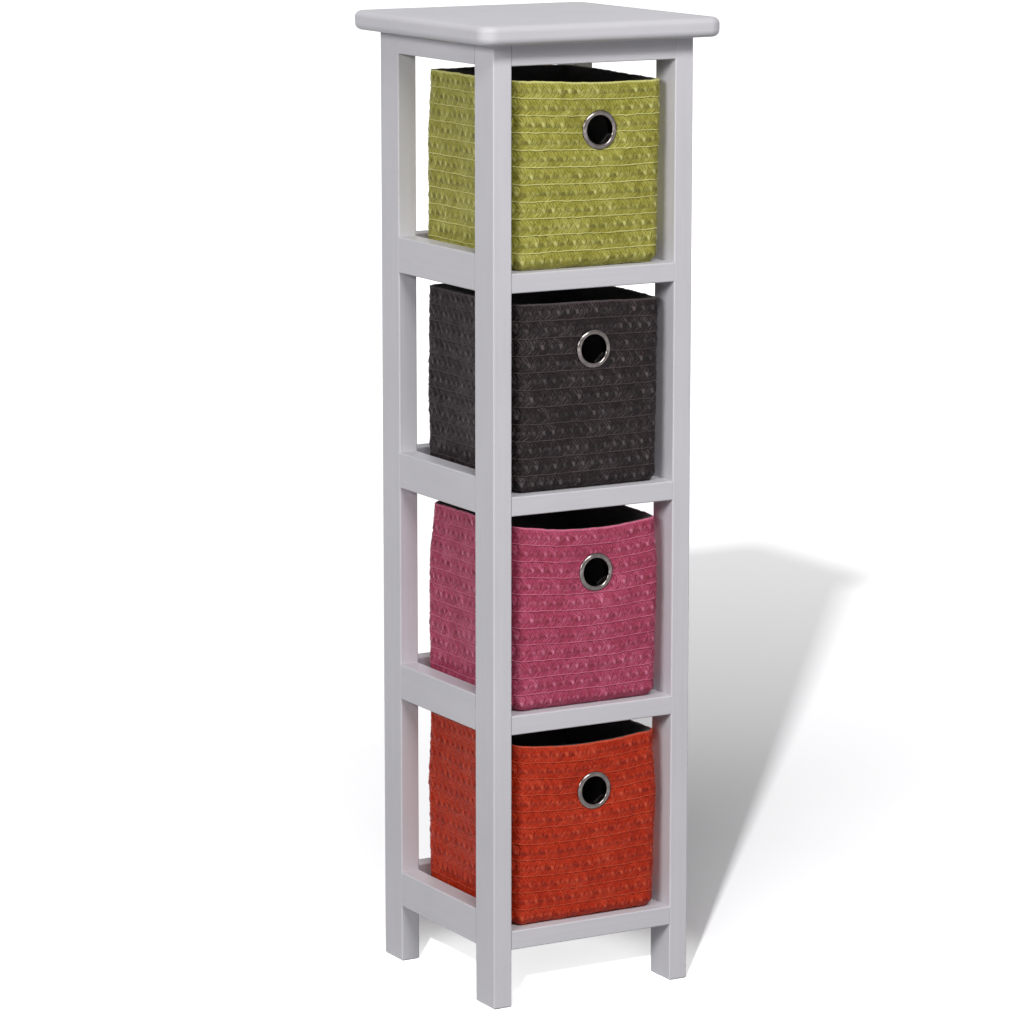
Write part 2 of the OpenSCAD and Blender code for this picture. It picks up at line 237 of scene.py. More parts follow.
# Thin paint over planed wood: the grain runs along the Z axis of the coordinates that come in.
paint, start, end = group_tree(
    "thin_paint_on_wood",
    [("Vector", "Vector", None), ("Colour", "Color", (0.6, 0.6, 0.6, 1)), ("Grain", "Float", 0.5)],
    [("Colour", "Color"), ("Roughness", "Float"), ("Height", "Float")])
grain_place = chain(paint, start.outputs["Vector"], "Mapping", {"Scale": (260, 260, 9)})
grain = chain(paint, grain_place, "TexNoise", {"Scale": 1.0, "Detail": 5.0, "Roughness": 0.62, "Distortion": 0.35})
pore_place = chain(paint, start.outputs["Vector"], "Mapping", {"Scale": (900, 900, 26)})
pores = chain(paint, pore_place, "TexNoise", {"Scale": 1.0, "Detail": 3.0, "Roughness": 0.7})
spray = chain(paint, start.outputs["Vector"], "TexNoise", {"Scale": 420.0, "Detail": 2.0, "Roughness": 0.6})
cloud = chain(paint, start.outputs["Vector"], "TexNoise", {"Scale": 7.0, "Detail": 3.0, "Roughness": 0.55})
lines = remap(paint, grain, 0.38, 0.66, 0.0, 1.0)
shade = pair(paint, "MULTIPLY", remap(paint, cloud, 0.3, 0.7, 0.955, 1.03), remap(paint, lines, 0.0, 1.0, 1.0, 0.965))
tone = add_node(paint, "VectorMath", operation="SCALE")
paint.links.new(start.outputs["Colour"], tone.inputs[0])
paint.links.new(shade, tone.inputs["Scale"])
paint.links.new(tone.outputs["Vector"], end.inputs["Colour"])
paint.links.new(remap(paint, spray, 0.3, 0.7, 0.40, 0.52), end.inputs["Roughness"])
relief = pair(paint, "ADD", lines, pair(paint, "MULTIPLY", pores, 0.35))
relief = pair(paint, "MULTIPLY", relief, start.outputs["Grain"])
relief = pair(paint, "ADD", relief, pair(paint, "MULTIPLY", spray, 0.18))
paint.links.new(relief, end.inputs["Height"])


def painted_wood(name, colour, turn, grain_strength=0.5, bump=0.00012):
    """Painted wood whose grain runs along the axis that the turn brings onto Z."""
    material, tree, shader = new_material(name)
    place = add_node(tree, "TexCoord")
    along = chain(tree, place.outputs["Object"], "Mapping", {"Rotation": turn})
    coat = add_node(tree, "Group", node_tree=paint)
    coat.inputs["Colour"].default_value = (*colour, 1)
    coat.inputs["Grain"].default_value = grain_strength
    tree.links.new(along, coat.inputs["Vector"])
    tree.links.new(coat.outputs["Colour"], shader.inputs["Base Color"])
    tree.links.new(coat.outputs["Roughness"], shader.inputs["Roughness"])
    raised = chain(tree, coat.outputs["Height"], "Bump", {"Strength": 0.7, "Distance": bump}, into="Height")
    tree.links.new(raised, shader.inputs["Normal"])
    shader.inputs["Specular IOR Level"].default_value = 0.30
    return material


def dress(names, material):
    """Gives a finish to CAD nodes."""
    for name in names:
        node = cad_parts[name]
        node.data.materials.clear()
        node.data.materials.append(material)


cool_grey = (0.590, 0.578, 0.612)
along_z, along_x, along_y = (0, 0, 0), (0, math.pi / 2, 0), (math.pi / 2, 0, 0)
upright = painted_wood("paint_upright", cool_grey, along_z)
sideways = painted_wood("paint_sideways", cool_grey, along_x)
lengthways = painted_wood("paint_lengthways", cool_grey, along_y)
levels = (1, 2, 3, 4)
dress([corner + "_post" for corner in ("front_left", "front_right", "back_left", "back_right")], upright)
dress(["front_top_rail", "back_top_rail", "top_board"], sideways)
dress([rail % level for rail in ("front_rail_%d", "back_rail_%d") for level in levels], sideways)
dress(["left_top_rail", "right_top_rail"], lengthways)
dress([rail % level for rail in ("left_rail_%d", "right_rail_%d") for level in levels], lengthways)

# Shelf panels
# Thin plywood boards, painted with the frame, slid into grooves of the rails before the frame was glued up. The
# veneer's grain shows more than the solid wood's.
panel_paint = painted_wood("paint_panel", (0.50, 0.49, 0.52), along_x, grain_strength=0.9, bump=0.00018)
dress(["shelf_panel_%d" % level for level in levels], panel_paint)

# Dowels and screws
# Beech dowels, glued in, hold the rails to the posts. Four zinc-plated countersunk screws hold the top board from
# below.
beech = painted_wood("beech", (0.62, 0.43, 0.24), along_z, grain_strength=1.0, bump=0.0002)
dress(["front_rail_dowels", "back_rail_dowels", "side_rail_dowels"], beech)
zinc, tree, shader = new_material("zinc_plate")
place = add_node(tree, "TexCoord")
spots = chain(tree, place.outputs["Object"], "TexNoise", {"Scale": 900.0, "Detail": 3.0})
tree.links.new(remap(tree, spots, 0.3, 0.7, 0.28, 0.46), shader.inputs["Roughness"])
shader.inputs["Base Color"].default_value = (0.62, 0.62, 0.60, 1)
shader.inputs["Metallic"].default_value = 1.0
dress(["top_screws"], zinc)


# Plaited walls of the baskets
# Flat plaits of crushed, dyed fibre are sewn edge to edge, course on course, round a box with rounded corners. Each
# plait shows slanting strands that cross at its middle, and a folded edge to which the next course is sewn.
def shape(piece, chosen, action, kind="VERT"):
    """Selects the piece's vertices, edges or faces by place, in edit mode, and runs an operator on them."""
    drop_selection()
    piece.select_set(True)
    bpy.context.view_layer.objects.active = piece
    bpy.ops.object.mode_set(mode="EDIT")
    bpy.ops.mesh.select_mode(type=kind)
    bpy.ops.mesh.select_all(action="DESELECT")
    bpy.ops.object.mode_set(mode="OBJECT")
    mesh = piece.data
    some = False
    for item in {"VERT": mesh.vertices, "EDGE": mesh.edges, "FACE": mesh.polygons}[kind]:
        if kind == "VERT":
            item.select = bool(chosen(item.co))
        elif kind == "EDGE":
            item.select = bool(chosen(*(mesh.vertices[end].co for end in item.vertices)))
        else:
            item.select = bool(chosen(item.center, item.normal))
        some = some or item.select
    bpy.ops.object.mode_set(mode="EDIT")
    if some:
        action()
    bpy.ops.object.mode_set(mode="OBJECT")


def everywhere(spot):
    """Chooses every vertex."""
    return True


def move(value):
    """An action for shape: moves what is selected."""
    return lambda: bpy.ops.transform.translate(value=value)


def apply_modifier(piece, kind, **settings):
    """Adds a modifier with its settings and applies it."""
    drop_selection()
    piece.select_set(True)
    bpy.context.view_layer.objects.active = piece
    modifier = piece.modifiers.new(kind.lower(), kind)
    for key, value in settings.items():
        setattr(modifier, key, value)
    bpy.ops.object.modifier_apply(modifier=modifier.name)


def repeat(piece, count, step, **settings):
    """Copies the piece's mesh along a step, count times in all."""
    apply_modifier(piece, "ARRAY", count=count, use_relative_offset=False, use_constant_offset=True,
                   constant_offset_displace=step, **settings)


def settle(piece):
    """Puts the object's place, turn and size into its mesh."""
    drop_selection()
    piece.select_set(True)
    bpy.context.view_layer.objects.active = piece
    bpy.ops.object.transform_apply(location=True, rotation=True, scale=True)


def copy_of(piece, name):
    """A copy of the piece with its own mesh."""
    drop_selection()
    piece.select_set(True)
    bpy.context.view_layer.objects.active = piece
    bpy.ops.object.duplicate(linked=False)
    twin = bpy.context.object
    twin.name = name
    return twin


def join(pieces, name):
    """Joins pieces into the first one."""
    drop_selection()
    for piece in pieces:
        piece.select_set(True)
    bpy.context.view_layer.objects.active = pieces[0]
    bpy.ops.object.join()
    pieces[0].name = name
    return pieces[0]


# All four baskets are made alike. The measures, in metres, come from the green one.
basket_low, basket_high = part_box("green_basket_wall")
half_w = basket_high.x
front_y, back_y = basket_low.y, basket_high.y
basket_tall = basket_high.z - basket_low.z
corner_radius = 0.012
bottom_radius = 0.009
relief_depth = 0.0017
rim_roll = 0.0010
course_count = 11
course_h = (basket_tall - rim_roll) / course_count
strands_round = 63
arc_handle = 0.5523  # the length of a curve's handles for a quarter of a circle, in radii


def rounded_path(name, inset):
    """A closed curve round the basket, inset from its outside, from the middle of the back and anticlockwise."""
    right, left = half_w - inset, inset - half_w
    front, back = front_y + inset, back_y - inset
    radius = corner_radius - inset
    drop_selection()
    bpy.ops.curve.primitive_bezier_curve_add(location=(0, 0, 0))
    curve = bpy.context.object
    curve.name = name
    bpy.ops.object.mode_set(mode="EDIT")
    bpy.ops.curve.select_all(action="SELECT")
    bpy.ops.curve.subdivide(number_cuts=7)
    bpy.ops.curve.cyclic_toggle()
    bpy.ops.object.mode_set(mode="OBJECT")
    curve.data.dimensions = "2D"
    curve.data.resolution_u = 24
    # Each stop is a place and the heading there.
    stops = [
        ((0, back), (-1, 0)),
        ((left + radius, back), (-1, 0)), ((left, back - radius), (0, -1)),
        ((left, front + radius), (0, -1)), ((left + radius, front), (1, 0)),
        ((right - radius, front), (1, 0)), ((right, front + radius), (0, 1)),
        ((right, back - radius), (0, 1)), ((right - radius, back), (-1, 0))]
    straight_after = (0, 2, 4, 6, 8)
    for index, (spot, heading) in enumerate(stops):
        knot = curve.data.splines[0].bezier_points[index]
        knot.handle_left_type = knot.handle_right_type = "FREE"
        here, way = Vector((*spot, 0)), Vector((*heading, 0))
        ahead = (Vector((*stops[(index + 1) % len(stops)][0], 0)) - here).length
        behind = (Vector((*stops[index - 1][0], 0)) - here).length
        knot.co = here
        straight_before = (index - 1) % len(stops) in straight_after
        knot.handle_right = here + way * (ahead / 3 if index in straight_after else radius * arc_handle)
        knot.handle_left = here - way * (behind / 3 if straight_before else radius * arc_handle)
    return curve


path = rounded_path("plait_path", relief_depth)
path_length = path.data.splines[0].calc_length()
strand_pitch = path_length / strands_round

# One strand, from the plait's upper edge down to where it dives under its neighbour past the middle. Each row gives
# its height in courses, its shift and its width in pitches, and how far it stands out in millimetres. The crown is
# how much further each column stands out. Every finished row waits far above, so that it isn't chosen again.
strand_rows = [
    (0.990, -0.46, 0.70, 0.92), (0.91, -0.36, 1.00, 1.02), (0.78, -0.20, 1.02, 1.05), (0.66, -0.06, 0.86, 1.12),
    (0.56, 0.04, 0.52, 1.32), (0.40, 0.09, 0.42, 1.38), (0.30, 0.10, 0.26, 0.45)]
strand_crown = [-0.40, -0.08, 0.04, 0.10, 0.04, -0.04, -0.36]
strand_cells = len(strand_rows) - 1
out_of_the_way = 10
drop_selection()
bpy.ops.mesh.primitive_grid_add(x_subdivisions=strand_cells, y_subdivisions=strand_cells, size=1, calc_uvs=True,
                                rotation=(math.pi / 2, 0, 0))
strand = bpy.context.object
settle(strand)
for column, crown in enumerate(strand_crown):
    at = column / strand_cells - 0.5
    shape(strand, lambda spot: abs(spot.x - at) < 0.01, move((0, -crown / 1000, 0)))
for row, (share, shift, wide, out) in enumerate(strand_rows):
    at = 0.5 - row / strand_cells
    shape(strand, lambda spot: abs(spot.z - at) < 0.01, lambda: (
        bpy.ops.transform.resize(value=(wide * strand_pitch, 1, 1), center_override=(0, 0, 0)),
        bpy.ops.transform.translate(
            value=(shift * strand_pitch, -out / 1000, out_of_the_way + share * course_h - at))))
shape(strand, everywhere, move((0, 0, -out_of_the_way)))

# On the map each strand fills the left half of its own square, and its fellow below the right half.
for loop in strand.data.uv_layers.active.data:
    loop.uv = (0.02 + 0.46 * loop.uv.x, 0.02 + 0.96 * loop.uv.y)
strand.data.uv_layers.active.name = "strand"

# Its fellow comes up from the lower edge and ends under the next one, which leaves a small pit beside each crest.
lower = copy_of(strand, "lower_strand")
shape(lower, everywhere, lambda: (
    bpy.ops.transform.resize(value=(1.35, 0.78, -1), center_override=(0, 0, course_h / 2)),
    bpy.ops.transform.resize(value=(1, 1, 0.92), center_override=(0, 0, 0)),
    bpy.ops.transform.translate(value=(0.56 * strand_pitch, -0.0002, 0)),
    bpy.ops.mesh.flip_normals()))
for loop in lower.data.uv_layers.active.data:
    loop.uv.x += 0.5

# The folded edge of the plait, which lies over the seam below it.
fold_radius = 0.00055
drop_selection()
bpy.ops.mesh.primitive_cylinder_add(vertices=8, radius=fold_radius, depth=strand_pitch / 2, end_fill_type="NOTHING",
                                    rotation=(0, math.pi / 2, 0), location=(0, 0, 0))
fold = bpy.context.object
settle(fold)
shape(fold, everywhere, lambda: bpy.ops.mesh.bisect(plane_co=(0, 0, 0), plane_no=(1, 0, 0)))
shape(fold, lambda spot: abs(spot.x) < 1e-5,
      lambda: bpy.ops.transform.resize(value=(1, 1.08, 1.08), center_override=(0, 0, 0)))
shape(fold, everywhere, lambda: bpy.ops.transform.resize(value=(1, 0.75, 1), center_override=(0, 0, 0)))
shape(fold, everywhere, move((strand_pitch / 4, -0.00100, 0.040 * course_h)))
repeat(fold, 2, (strand_pitch / 2, 0, 0), use_merge_vertices=True, merge_threshold=1e-5)
fold.data.uv_layers.active.name = "strand"

# Strands and folds keep slots apart, which each basket's own colours fill later, the folds' lighter as a painted
# highlight.
undyed = [bpy.data.materials.new("undyed_strand"), bpy.data.materials.new("undyed_fold")]
for part in (strand, lower, fold):
    for material in undyed:
        part.data.materials.append(material)
for face in fold.data.polygons:
    face.material_index = 1
plait_unit = join([strand, lower, fold], "plait_unit")
bpy.ops.object.shade_smooth()
plait = copy_of(plait_unit, "plait")
course_shift = 0.37 * strand_pitch
repeat(plait, strands_round, (strand_pitch, 0, 0), offset_u=1.0)
repeat(plait, course_count, (course_shift, 0, course_h), offset_v=1.0)

# A stiff backing that the plaits lie on, so that no light comes between the strands.
steps_round = 220
drop_selection()
bpy.ops.mesh.primitive_grid_add(x_subdivisions=steps_round, y_subdivisions=22, size=1, rotation=(math.pi / 2, 0, 0))
backing = bpy.context.object
settle(backing)
shape(backing, everywhere, lambda: (
    bpy.ops.transform.translate(value=(0.5, -0.00045, 0.5)),
    bpy.ops.transform.resize(value=(path_length, 1, basket_tall - 0.0018), center_override=(0, 0, 0))))
backing.data.uv_layers.active.name = "strand"
backing.data.materials.append(undyed[0])

# A rolled edge along the rim.
rim_radius = 0.0011
step_length = path_length / steps_round
drop_selection()
bpy.ops.mesh.primitive_cylinder_add(vertices=8, radius=rim_radius, depth=step_length, end_fill_type="NOTHING",
                                    rotation=(0, math.pi / 2, 0), location=(0, 0, 0))
rim = bpy.context.object
settle(rim)
shape(rim, everywhere, move((step_length / 2, -0.0002, basket_tall - 0.0014)))
repeat(rim, steps_round, (step_length, 0, 0), use_merge_vertices=True, merge_threshold=1e-5)
rim.data.uv_layers.active.name = "strand"
for material in undyed:
    rim.data.materials.append(material)
for face in rim.data.polygons:
    face.material_index = 1


def turned_in(height):
    """How far the wall is turned in at a height above the basket's underside."""
    return bottom_radius - math.sqrt(max(0, bottom_radius ** 2 - (bottom_radius - height) ** 2))


# The lowest course turns in under the basket, in narrow bands. The flat strips are then bent round the path.
band_count, band_height = 18, 0.0005
for piece in (plait, backing):
    for band in range(band_count, 0, -1):
        top = band * band_height
        shape(piece, lambda spot: spot.z < top,
              move((0, turned_in(top - band_height / 2) - turned_in(top + band_height / 2), 0)))
for piece in (plait, backing, rim):
    piece.rotation_euler, piece.location = (0, 0, math.pi), (path_length, 0, 0)
    settle(piece)
    apply_modifier(piece, "CURVE", object=path, deform_axis="POS_X")
for piece in (backing, rim):
    shape(piece, everywhere, lambda: bpy.ops.mesh.remove_doubles(threshold=1e-4))
apply_modifier(backing, "SOLIDIFY", thickness=0.0030, offset=-1.0, use_even_offset=True)
plait = join([plait, rim], "plait")

# Plaited floors of the baskets
# Each is of the same plait, laid in straight courses and sewn to a thin stiff plate. It is sewn to the wall's lowest
# course all round, and lies on the shelf panel.
floor_margin = 0.013
floor_w, floor_d = 2 * half_w - floor_margin, back_y - front_y - floor_margin
floor_middle = (front_y + back_y) / 2
across_count, down_count = math.ceil(floor_w / strand_pitch) + 7, math.ceil(floor_d / course_h) + 1
under = plait_unit
under.name = "plaited_floor"
repeat(under, across_count, (strand_pitch, 0, 0), offset_u=1.0)
repeat(under, down_count, (course_shift, 0, course_h), offset_v=1.0)
under.rotation_euler = (math.pi / 2, 0, 0)
under.location = (-floor_w / 2 - 6 * strand_pitch, floor_middle + floor_d / 2 + course_h / 2, 0.0021)
settle(under)
for side in (-1, 1):
    shape(under, everywhere, lambda: bpy.ops.mesh.bisect(
        plane_co=(side * floor_w / 2, 0, 0), plane_no=(side, 0, 0), clear_outer=True))
    shape(under, everywhere, lambda: bpy.ops.mesh.bisect(
        plane_co=(0, floor_middle + side * floor_d / 2, 0), plane_no=(0, side, 0), clear_outer=True))


def stands_upright(start_spot, end_spot):
    """Chooses the edges that stand upright."""
    return abs(start_spot.x - end_spot.x) < 1e-5 and abs(start_spot.y - end_spot.y) < 1e-5


plate_height, plate_margin, plate_thickness = 0.003, 0.003, 0.002
drop_selection()
bpy.ops.mesh.primitive_cube_add(size=1, location=(0, floor_middle, plate_height))
plate = bpy.context.object
plate.name = "floor_plate"
plate.scale = (floor_w - plate_margin, floor_d - plate_margin, plate_thickness)
settle(plate)
shape(plate, stands_upright, lambda: bpy.ops.mesh.bevel(offset=0.004, segments=4), kind="EDGE")
plate.data.uv_layers.active.name = "strand"
plate.data.materials.append(undyed[0])
under = join([under, plate], "plaited_floor")

# Dyed plant fibre, for walls and floors alike. Every strand has a shade of its own, with fine fibres along it and a
# low, uneven sheen. The colour also carries painted light: a highlight on each crest, shade in the dip beside it, and
# shade and light over the fine ribs.
fibre, start, end = group_tree(
    "plaited_fibre",
    [("Strand", "Vector", None), ("Place", "Vector", None), ("Body", "Color", (0.3, 0.3, 0.1, 1)),
     ("Bright", "Color", (0.6, 0.6, 0.2, 1)), ("Dark", "Color", (0.1, 0.1, 0.02, 1))],
    [("Colour", "Color"), ("Roughness", "Float"), ("Height", "Float")])
parts_of = add_node(fibre, "SeparateXYZ")
fibre.links.new(start.outputs["Strand"], parts_of.inputs[0])
across = pair(fibre, "MULTIPLY", parts_of.outputs["X"], 2.0)
along = parts_of.outputs["Y"]
cell = add_node(fibre, "CombineXYZ")
fibre.links.new(chain(fibre, across, "Math", operation="FLOOR"), cell.inputs["X"])
fibre.links.new(chain(fibre, along, "Math", operation="FLOOR"), cell.inputs["Y"])
own = chain(fibre, cell.outputs[0], "TexWhiteNoise", into="Vector", noise_dimensions="3D")
streaks = []
for wide, long, far, detail in ((13, 2.4, 50, 4.0), (46, 5.0, 90, 2.0)):
    spot = add_node(fibre, "CombineXYZ")
    fibre.links.new(pair(fibre, "MULTIPLY", across, wide), spot.inputs["X"])
    fibre.links.new(pair(fibre, "MULTIPLY", along, long), spot.inputs["Y"])
    fibre.links.new(pair(fibre, "MULTIPLY", own, far), spot.inputs["Z"])
    streaks.append(chain(fibre, spot.outputs[0], "TexNoise", {"Scale": 1.0, "Detail": detail, "Roughness": 0.6}))
drift = chain(fibre, start.outputs["Place"], "TexNoise", {"Scale": 38.0, "Detail": 2.0})
blotches = chain(fibre, start.outputs["Place"], "TexNoise", {"Scale": 190.0, "Detail": 4.0, "Roughness": 0.6})
# Fine ribs run along each strand. Besides their bump, they make the colour darker in the grooves and lighter on the
# ribs: painted shade and light over that relief.
sine = chain(fibre, pair(fibre, "MULTIPLY", across, 22.0), "Math", operation="SINE")
ribs = remap(fibre, sine, -1.0, 1.0, 0.0, 1.0)
mixed = pair(fibre, "ADD", pair(fibre, "MULTIPLY", streaks[0], 0.9), pair(fibre, "MULTIPLY", streaks[1], 0.6))
mixed = pair(fibre, "ADD", mixed, pair(fibre, "MULTIPLY", own, 0.14))
mixed = pair(fibre, "ADD", mixed, pair(fibre, "MULTIPLY", drift, 0.25))
mixed = pair(fibre, "ADD", mixed, pair(fibre, "MULTIPLY", blotches, 0.55))
mixed = pair(fibre, "ADD", mixed, pair(fibre, "MULTIPLY", ribs, 0.26))
# The crest of each upper strand, at the plait's middle, is coloured lighter as a painted highlight, and its fellow's
# end beside it, where it dives into the pit, is coloured darker as painted shade.
in_length = chain(fibre, along, "Math", operation="FRACT")
near_end = pair(fibre, "MULTIPLY", remap(fibre, in_length, 0.06, 0.15, 0.0, 1.0),
                remap(fibre, in_length, 0.36, 0.52, 1.0, 0.0))
in_width = chain(fibre, across, "Math", operation="FRACT")
middle = pair(fibre, "MULTIPLY", remap(fibre, in_width, 0.12, 0.34, 0.0, 1.0),
              remap(fibre, in_width, 0.66, 0.88, 1.0, 0.0))
is_lower = pair(fibre, "MODULO", chain(fibre, across, "Math", operation="FLOOR"), 2.0)
is_upper = remap(fibre, is_lower, 0.0, 1.0, 1.0, 0.0)
painted_crest_highlight = pair(fibre, "MULTIPLY", pair(fibre, "MULTIPLY", near_end, middle), is_upper)
painted_crest_highlight = pair(fibre, "MULTIPLY", painted_crest_highlight, remap(fibre, own, 0.1, 1.0, 0.15, 0.90))
painted_dip_shade = pair(fibre, "MULTIPLY", pair(fibre, "MULTIPLY", near_end, is_lower), remap(fibre, own, 0.0, 1.0, 0.95, 0.45))
shaded = blend_colours(fibre, pair(fibre, "MAXIMUM", remap(fibre, mixed, 1.06, 1.38, 0.85, 0.0), painted_dip_shade),
                       start.outputs["Body"], start.outputs["Dark"])
lit = blend_colours(fibre, pair(fibre, "MAXIMUM", remap(fibre, mixed, 1.38, 1.74, 0.0, 0.75), painted_crest_highlight), shaded,
                    start.outputs["Bright"])
fibre.links.new(lit, end.inputs["Colour"])
fibre.links.new(remap(fibre, streaks[0], 0.3, 0.7, 0.52, 0.36), end.inputs["Roughness"])
height = pair(fibre, "ADD", streaks[0], pair(fibre, "MULTIPLY", streaks[1], 0.5))
fibre.links.new(pair(fibre, "ADD", height, pair(fibre, "MULTIPLY", ribs, 0.45)), end.inputs["Height"])


def fibre_material(name, body, bright, dark, gloss):
    """Dyed plaited fibre on the strands' own map."""
    material, tree, shader = new_material(name)
    strand_map = add_node(tree, "UVMap", uv_map="strand")
    place = add_node(tree, "TexCoord")
    look = add_node(tree, "Group", node_tree=fibre)
    for label, colour in (("Body", body), ("Bright", bright), ("Dark", dark)):
        look.inputs[label].default_value = (*colour, 1)
    tree.links.new(strand_map.outputs[0], look.inputs["Strand"])
    tree.links.new(place.outputs["Object"], look.inputs["Place"])
    tree.links.new(look.outputs["Colour"], shader.inputs["Base Color"])
    tree.links.new(look.outputs["Roughness"], shader.inputs["Roughness"])
    raised = chain(tree, look.outputs["Height"], "Bump", {"Strength": 0.8, "Distance": 0.00035}, into="Height")
    tree.links.new(raised, shader.inputs["Normal"])
    shader.inputs["Specular IOR Level"].default_value = gloss
    return material


# Linings
# Each is black spun-bonded cloth with small embossed spots, sewn up as an open box that fits the basket. Its hem is
# folded over the rim, and the eyelet clamps it to the wall.
lining_cloth, tree, shader = new_material("lining_cloth")
place = add_node(tree, "TexCoord")
spots = chain(tree, place.outputs["Object"], "TexVoronoi", {"Scale": 620.0, "Randomness": 0.25})
fuzz = chain(tree, place.outputs["Object"], "TexNoise", {"Scale": 2600.0, "Detail": 3.0})
pressed = remap(tree, spots, 0.12, 0.34, 0.0, 1.0)
cloth_tone = blend_colours(tree, pair(tree, "MULTIPLY", pressed, fuzz),
                           (0.044, 0.042, 0.041, 1), (0.100, 0.096, 0.094, 1))
tree.links.new(cloth_tone, shader.inputs["Base Color"])
tree.links.new(remap(tree, fuzz, 0.3, 0.7, 0.78, 0.95), shader.inputs["Roughness"])
cloth_height = pair(tree, "ADD", pressed, pair(tree, "MULTIPLY", fuzz, 0.5))
tree.links.new(chain(tree, cloth_height, "Bump", {"Strength": 0.6, "Distance": 0.00015}, into="Height"),
               shader.inputs["Normal"])
shader.inputs["Specular IOR Level"].default_value = 0.2

lining_low, lining_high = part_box("green_basket_lining")
lining_bottom, lining_top = lining_low.z - basket_low.z, basket_tall - 0.0020
drop_selection()
bpy.ops.mesh.primitive_cube_add(size=1, location=(0, floor_middle, (lining_bottom + lining_top) / 2))
lining = bpy.context.object
lining.name = "lining"
lining.scale = (lining_high.x - lining_low.x, lining_high.y - lining_low.y, lining_top - lining_bottom)
settle(lining)
shape(lining, lambda middle, normal: normal.z > 0.9, lambda: bpy.ops.mesh.delete(type="ONLY_FACE"), kind="FACE")
shape(lining, stands_upright, lambda: bpy.ops.mesh.bevel(offset=0.0068, segments=6), kind="EDGE")
shape(lining, lambda spot, other: spot.z < lining_bottom + 1e-4 and other.z < lining_bottom + 1e-4,
      lambda: bpy.ops.mesh.bevel(offset=0.002, segments=2), kind="EDGE")
lining_half_w, lining_half_d = lining.dimensions.x / 2, lining.dimensions.y / 2


def on_open_edge(spot, other):
    """Chooses the edges along the lining's opening, at the height that the hem has reached."""
    return abs(spot.z - edge_height) < 1e-5 and abs(other.z - edge_height) < 1e-5 and (
        abs(spot.x) > lining_half_w - near_edge or abs(spot.y - floor_middle) > lining_half_d - near_edge)


near_edge = 0.008
# The hem goes over the rim in three steps, each so far outwards and so far up.
hem_steps = ((0.0009, 0.0004), (0.0016, 0.0001), (0.0003, -0.0004))
hem_top = lining_top + 0.0005
for out, up in hem_steps:
    edge_height = hem_top if up < 0 else max(vertex.co.z for vertex in lining.data.vertices)
    grown_w, grown_d = (lining_half_w + out) / lining_half_w, (lining_half_d + out) / lining_half_d
    shape(lining, on_open_edge, lambda: (
        bpy.ops.mesh.extrude_edges_move(),
        bpy.ops.transform.translate(value=(0, 0, up)),
        bpy.ops.transform.resize(value=(grown_w, grown_d, 1), center_override=(0, floor_middle, 0))), kind="EDGE")
    lining_half_w, lining_half_d = lining_half_w + out, lining_half_d + out

# Cuts across it give the cloth enough faces to settle with the basket.
cut_count = 12
for step in range(1, cut_count + 1):
    for axis, size in ((0, 2 * half_w), (1, back_y - front_y), (2, basket_tall)):
        cut_place, cut_way = [0, floor_middle, 0], [0, 0, 0]
        cut_way[axis] = 1
        cut_place[axis] += size * (step / (cut_count + 1) - (0 if axis == 2 else 0.5))
        shape(lining, everywhere, lambda: bpy.ops.mesh.bisect(plane_co=cut_place, plane_no=cut_way))
apply_modifier(lining, "SOLIDIFY", thickness=0.0009, offset=-1.0, use_even_offset=True)
lining.data.materials.append(lining_cloth)
shape(lining, everywhere, bpy.ops.mesh.faces_shade_smooth)

# Base boards
# Each is a loose piece of grey-brown pressed board, cut to the basket's floor. It lies on the floor, under the lining,
# and keeps it flat.
base_board, tree, shader = new_material("base_board")
place = add_node(tree, "TexCoord")
flecks = chain(tree, place.outputs["Object"], "TexNoise", {"Scale": 900.0, "Detail": 5.0, "Roughness": 0.7})
tree.links.new(blend_colours(tree, remap(tree, flecks, 0.35, 0.68, 0, 1),
                             (0.36, 0.29, 0.20, 1), (0.22, 0.17, 0.11, 1)), shader.inputs["Base Color"])
tree.links.new(remap(tree, flecks, 0.3, 0.7, 0.75, 0.9), shader.inputs["Roughness"])
tree.links.new(chain(tree, flecks, "Bump", {"Strength": 0.5, "Distance": 0.0002}, into="Height"),
               shader.inputs["Normal"])

# Eyelets
# Each is pressed from brass and plated in dark antique nickel. It has a low domed face with rolled lips, and a barrel
# that goes through wall and lining and is rolled over a washer inside.
eyelet_metal, tree, shader = new_material("antique_nickel")
place = add_node(tree, "TexCoord")
patina = chain(tree, place.outputs["Object"], "TexNoise", {"Scale": 240.0, "Detail": 4.0, "Roughness": 0.6})
scuffs = chain(tree, chain(tree, place.outputs["Object"], "Mapping", {"Scale": (300, 300, 2400)}),
               "TexNoise", {"Scale": 1.0, "Detail": 3.0})
tree.links.new(blend_colours(tree, remap(tree, patina, 0.35, 0.65, 0, 1),
                             (0.105, 0.093, 0.089, 1), (0.165, 0.148, 0.142, 1)), shader.inputs["Base Color"])
tree.links.new(remap(tree, scuffs, 0.3, 0.7, 0.13, 0.24), shader.inputs["Roughness"])
tree.links.new(chain(tree, scuffs, "Bump", {"Strength": 0.25, "Distance": 0.00008}, into="Height"),
               shader.inputs["Normal"])
shader.inputs["Metallic"].default_value = 1.0

